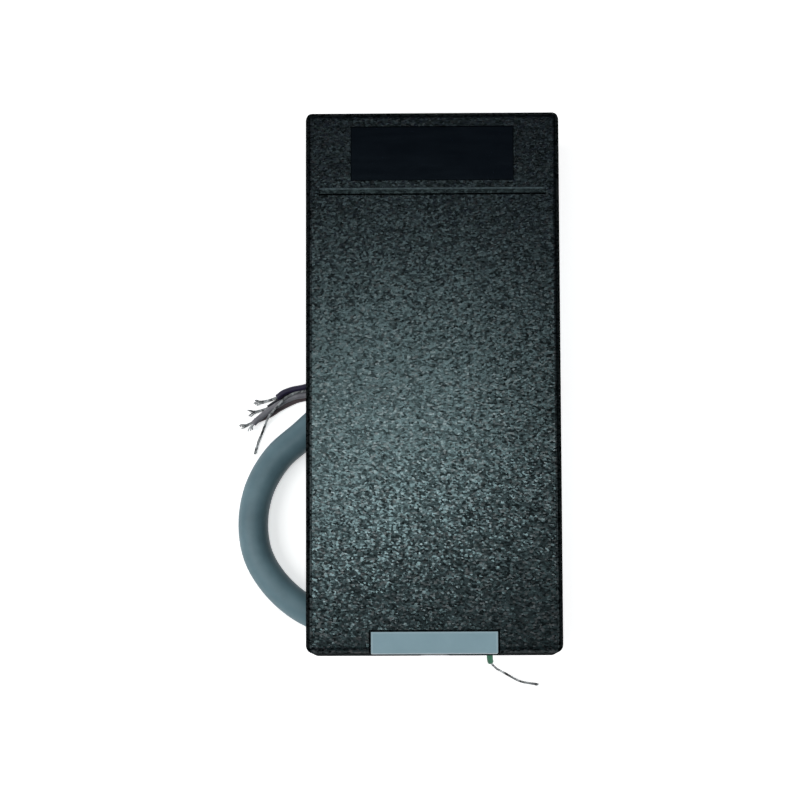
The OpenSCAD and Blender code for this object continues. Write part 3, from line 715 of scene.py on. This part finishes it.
def insulation_finish(name, dark, light):
    """Thin coloured insulation with small scuffs."""
    f = Finish(name, Specular_IOR_Level=0.4)
    cloud = f.noise(700, 3.0, 0.6)
    f.put("Base Color", f.mixed(cloud, dark, light))
    f.put("Roughness", 0.36 + cloud * 0.2)
    f.bump(f.noise(1800, 2.0), 0.02 * MM, 0.5)
    return f.material


def metal_finish(name, dark, light, roughness, scale=900, metallic=1.0, blotch=0.0):
    """Metal with fine tarnish that also dulls it. With blotch, the tarnish gathers into patches."""
    f = Finish(name, Metallic=metallic)
    tarnish = f.noise(scale, 4.0, 0.6)
    f.put("Base Color", f.mixed(tarnish.stepped(0.3 * blotch, 1 - 0.3 * blotch), light, dark))
    f.put("Roughness", (roughness + tarnish * 0.2).clipped())
    f.bump(f.noise(scale * 2, 2.0), 0.01 * MM, 0.4)
    return f.material


def moulded_finish(name, dark, light, roughness=0.55, grain=1600, depth=0.05):
    """Moulded or rubbery part: even colour with fine grain."""
    f = Finish(name, Specular_IOR_Level=0.4)
    cloud = f.noise(grain * 0.12, 3.0)
    grit = f.noise(grain, 2.0, 0.6)
    f.put("Base Color", f.mixed(cloud * 0.6 + grit * 0.4, dark, light))
    f.put("Roughness", (roughness + grit * 0.15 - cloud * 0.1).clipped())
    f.bump(grit, depth * MM, 0.6)
    return f.material


def board_finish():
    """Green solder mask over faint copper tracks that run in two directions."""
    f = Finish("board_green", Coat_Weight=0.3, Coat_Roughness=0.2)
    tracks = f.node("ShaderNodeTexBrick", {"offset": 0.37, "squash": 1.4}, Vector=f.place, Scale=210.0,
                    Mortar_Size=0.06, Mortar_Smooth=0.4).value("Fac")
    cloud = f.noise(300, 3.0)
    mask = f.mixed(cloud, srgb(12, 72, 45), srgb(20, 92, 58))
    f.put("Base Color", f.mixed(tracks * 0.8, mask, srgb(44, 128, 84)))
    f.put("Roughness", 0.32 + cloud * 0.15)
    f.bump(tracks, 0.03 * MM, 0.5)
    return f.material


def clear_finish():
    """Clear plastic with slight waviness."""
    f = Finish("clear_plastic", Transmission_Weight=1.0, IOR=1.49)
    wave = f.noise(400, 2.0)
    f.put("Base Color", f.mixed(wave, (0.9, 0.94, 0.95), (0.97, 0.98, 0.98)))
    f.put("Roughness", 0.05 + wave * 0.1)
    return f.material


def finishes():
    """Every material of the part, under the name of its slot."""
    return {
        "housing_plastic": housing_finish(),
        "smooth_panel": panel_finish(),
        "smoked_bar": smoked_finish(),
        "clear_plastic": clear_finish(),
        "pale_tab": tab_finish(),
        "lamp_white": moulded_finish("lamp_white", srgb(225, 220, 196), srgb(244, 240, 224), 0.3),
        "copper": metal_finish("copper", srgb(150, 92, 58), srgb(214, 140, 96), 0.3),
        "board_green": board_finish(),
        "ferrite_grey": moulded_finish("ferrite_grey", srgb(44, 44, 47), srgb(62, 62, 66), 0.6, 2400),
        "white_plastic": moulded_finish("white_plastic", srgb(214, 212, 202), srgb(236, 234, 226), 0.45),
        "zinc_steel": metal_finish("zinc_steel", srgb(140, 144, 150), srgb(196, 200, 204), 0.28),
        "chip_black": moulded_finish("chip_black", srgb(20, 20, 22), srgb(36, 36, 39), 0.6, 3000),
        "bright_can": metal_finish("bright_can", srgb(160, 163, 168), srgb(208, 210, 213), 0.22),
        "ceramic_tan": moulded_finish("ceramic_tan", srgb(150, 124, 88), srgb(180, 152, 112), 0.5, 2600),
        "lead_insulation": insulation_finish("lead_insulation", srgb(110, 40, 36), srgb(140, 60, 52)),
        "cable_jacket": jacket_finish(),
        "black_rubber": moulded_finish("black_rubber", srgb(16, 17, 18), srgb(32, 34, 36), 0.62, 1300, 0.06),
        "back_plastic": moulded_finish("back_plastic", srgb(30, 34, 36), srgb(44, 49, 51), 0.5, 1100, 0.1),
        "plate_plastic": moulded_finish("plate_plastic", srgb(40, 43, 46), srgb(58, 62, 65), 0.5, 900, 0.1),
        "brass": metal_finish("brass", srgb(150, 118, 56), srgb(208, 172, 98), 0.25),
        "tie_nylon": moulded_finish("tie_nylon", srgb(15, 15, 16), srgb(28, 28, 30), 0.4, 1500, 0.03),
        "violet_wire": insulation_finish("violet_wire", srgb(22, 18, 40), srgb(48, 42, 74)),
        "black_wire": insulation_finish("black_wire", srgb(12, 14, 22), srgb(32, 36, 48)),
        "brown_wire": insulation_finish("brown_wire", srgb(56, 46, 52), srgb(118, 100, 102)),
        "grey_wire": insulation_finish("grey_wire", srgb(84, 84, 92), srgb(158, 156, 162)),
        "green_wire": insulation_finish("green_wire", srgb(30, 84, 62), srgb(66, 134, 102)),
        "tinned_strand": metal_finish("tinned_strand", srgb(28, 32, 34), srgb(196, 200, 202), 0.35, 1100,
                                      0.85, blotch=1.0),
    }


made_finishes = finishes()
slot_of = {s["node"]: s["material_slot"] for s in frame["record"]["subparts"]}


def finish_piece(obj, slot_name, body):
    """Gives a new piece its finish, its record slot and its body."""
    obj.data.materials.clear()
    obj.data.materials.append(made_finishes[slot_name])
    if body:
        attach(obj, body)


# ---------------------------------------------------------------- cable pieces placed

def place_cable():
    """The cable's two stretches and its tie, with their finishes; the jacket and the tie join the root body.
    """
    lead, lead_route = make_lead()
    finish_piece(lead, "cable_jacket", None)
    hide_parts("cord_lead")
    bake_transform(lead)

    jacket, route = make_jacket()
    finish_piece(jacket, "cable_jacket", ROOT)
    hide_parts("cord_loop", "cord_hank")
    tie = make_tie()
    finish_piece(tie, "tie_nylon", ROOT)
    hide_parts("cable_tie")


def place_conductors():
    """Each conductor, with its own seed, in place of its CAD wire."""
    for number, name in enumerate(wire_points):
        route, cut = split_route(name)
        wire = make_conductor(name, route, cut, first_seed + number)
        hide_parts("wire_" + name)


place_cable()
place_conductors()


# ---------------------------------------------------------------- CAD pieces

for name, obj in frame["nodes"].items():
    obj.data.materials.clear()
    obj.data.materials.append(made_finishes[slot_of[name]])


# ---------------------------------------------------------------- studio

near_glow = 0.6
middle = (0, 0, 0)


def make_studio():
    """Pale table that curves up into a wall all round: both are one profile, turned about the upright axis.

    It shows white to the camera and in reflections. The table near the object shows less light of its own,
    so that the object's shadow stays on it."""
    table, wall, bend = 2.0, 1.5, 0.5
    turn = np.radians(np.linspace(-90, 0, 9))
    radius = np.concatenate([[0.001, 0.2, 0.6, 1.2], table + bend * np.cos(turn), [table + bend]])
    height = np.concatenate([np.zeros(4), bend + bend * np.sin(turn), [wall]]) + floor_z
    around = np.radians(np.arange(0, 360, 5))
    rings = np.stack([radius[:, None] * np.cos(around), radius[:, None] * np.sin(around),
                      np.broadcast_to(height[:, None], (len(radius), len(around)))], -1)
    studio = as_mesh("studio_sweep", rings.reshape(-1, 3), grid_faces(len(radius), len(around)))
    f = Finish("studio_sweep", Roughness=0.9, Specular_IOR_Level=0.1, Emission_Strength=1.0)
    f.put("Base Color", f.mixed(f.noise(8, 2.0), (0.93, 0.93, 0.93), (0.95, 0.95, 0.95)))
    x, y, _ = f.axes()
    away = (x ** 2.0 + y ** 2.0).stepped(0.1 ** 2, 0.5 ** 2)
    rays = f.node("ShaderNodeLightPath", {})
    camera_or_gloss = rays.value("Is Camera Ray") + rays.value("Is Glossy Ray")
    seen = (camera_or_gloss + rays.value("Is Transmission Ray")).clipped()
    f.put("Emission Color", f.mixed(seen * (near_glow + away * (1 - near_glow)), (0, 0, 0), (1, 1, 1)))
    studio.data.materials.append(f.material)


def make_lamp(name, place, target, size, power, colour=(1, 1, 1), width=None):
    """Soft lamp that faces a point: a square, or a strip of that width along X."""
    data = bpy.data.lights.new(name, "AREA")
    data.shape = "RECTANGLE"
    data.size = width or size
    data.size_y = size
    data.energy = power
    data.color = colour
    lamp = new_object(name, data)
    lamp.location = place
    lamp.rotation_euler = (Vector(target) - Vector(place)).to_track_quat("-Z", "Y").to_euler()
    lamp.visible_camera = False


def make_world():
    """Weak even light from all round."""
    world = bpy.data.worlds.new("studio")
    world.use_nodes = True
    bpy.context.scene.world = world
    sky = world.node_tree.nodes["Background"]
    sky.inputs["Color"].default_value = (0.96, 0.98, 1.0, 1)
    sky.inputs["Strength"].default_value = 0.1


make_studio()
make_world()
make_lamp("lamp_left", (-0.5, -0.1, 0.6), middle, 0.45, 3.1)
make_lamp("lamp_right", (0.5, -0.2, 0.6), middle, 0.45, 2.6)
make_lamp("lamp_front", (-0.026, 0.032, 0.42), (-0.014, -0.008, 0.0115), 0.04, 0.265, (0.9, 1.0, 1.0), 0.09)

scene = bpy.context.scene
scene.view_settings.view_transform = "Standard"
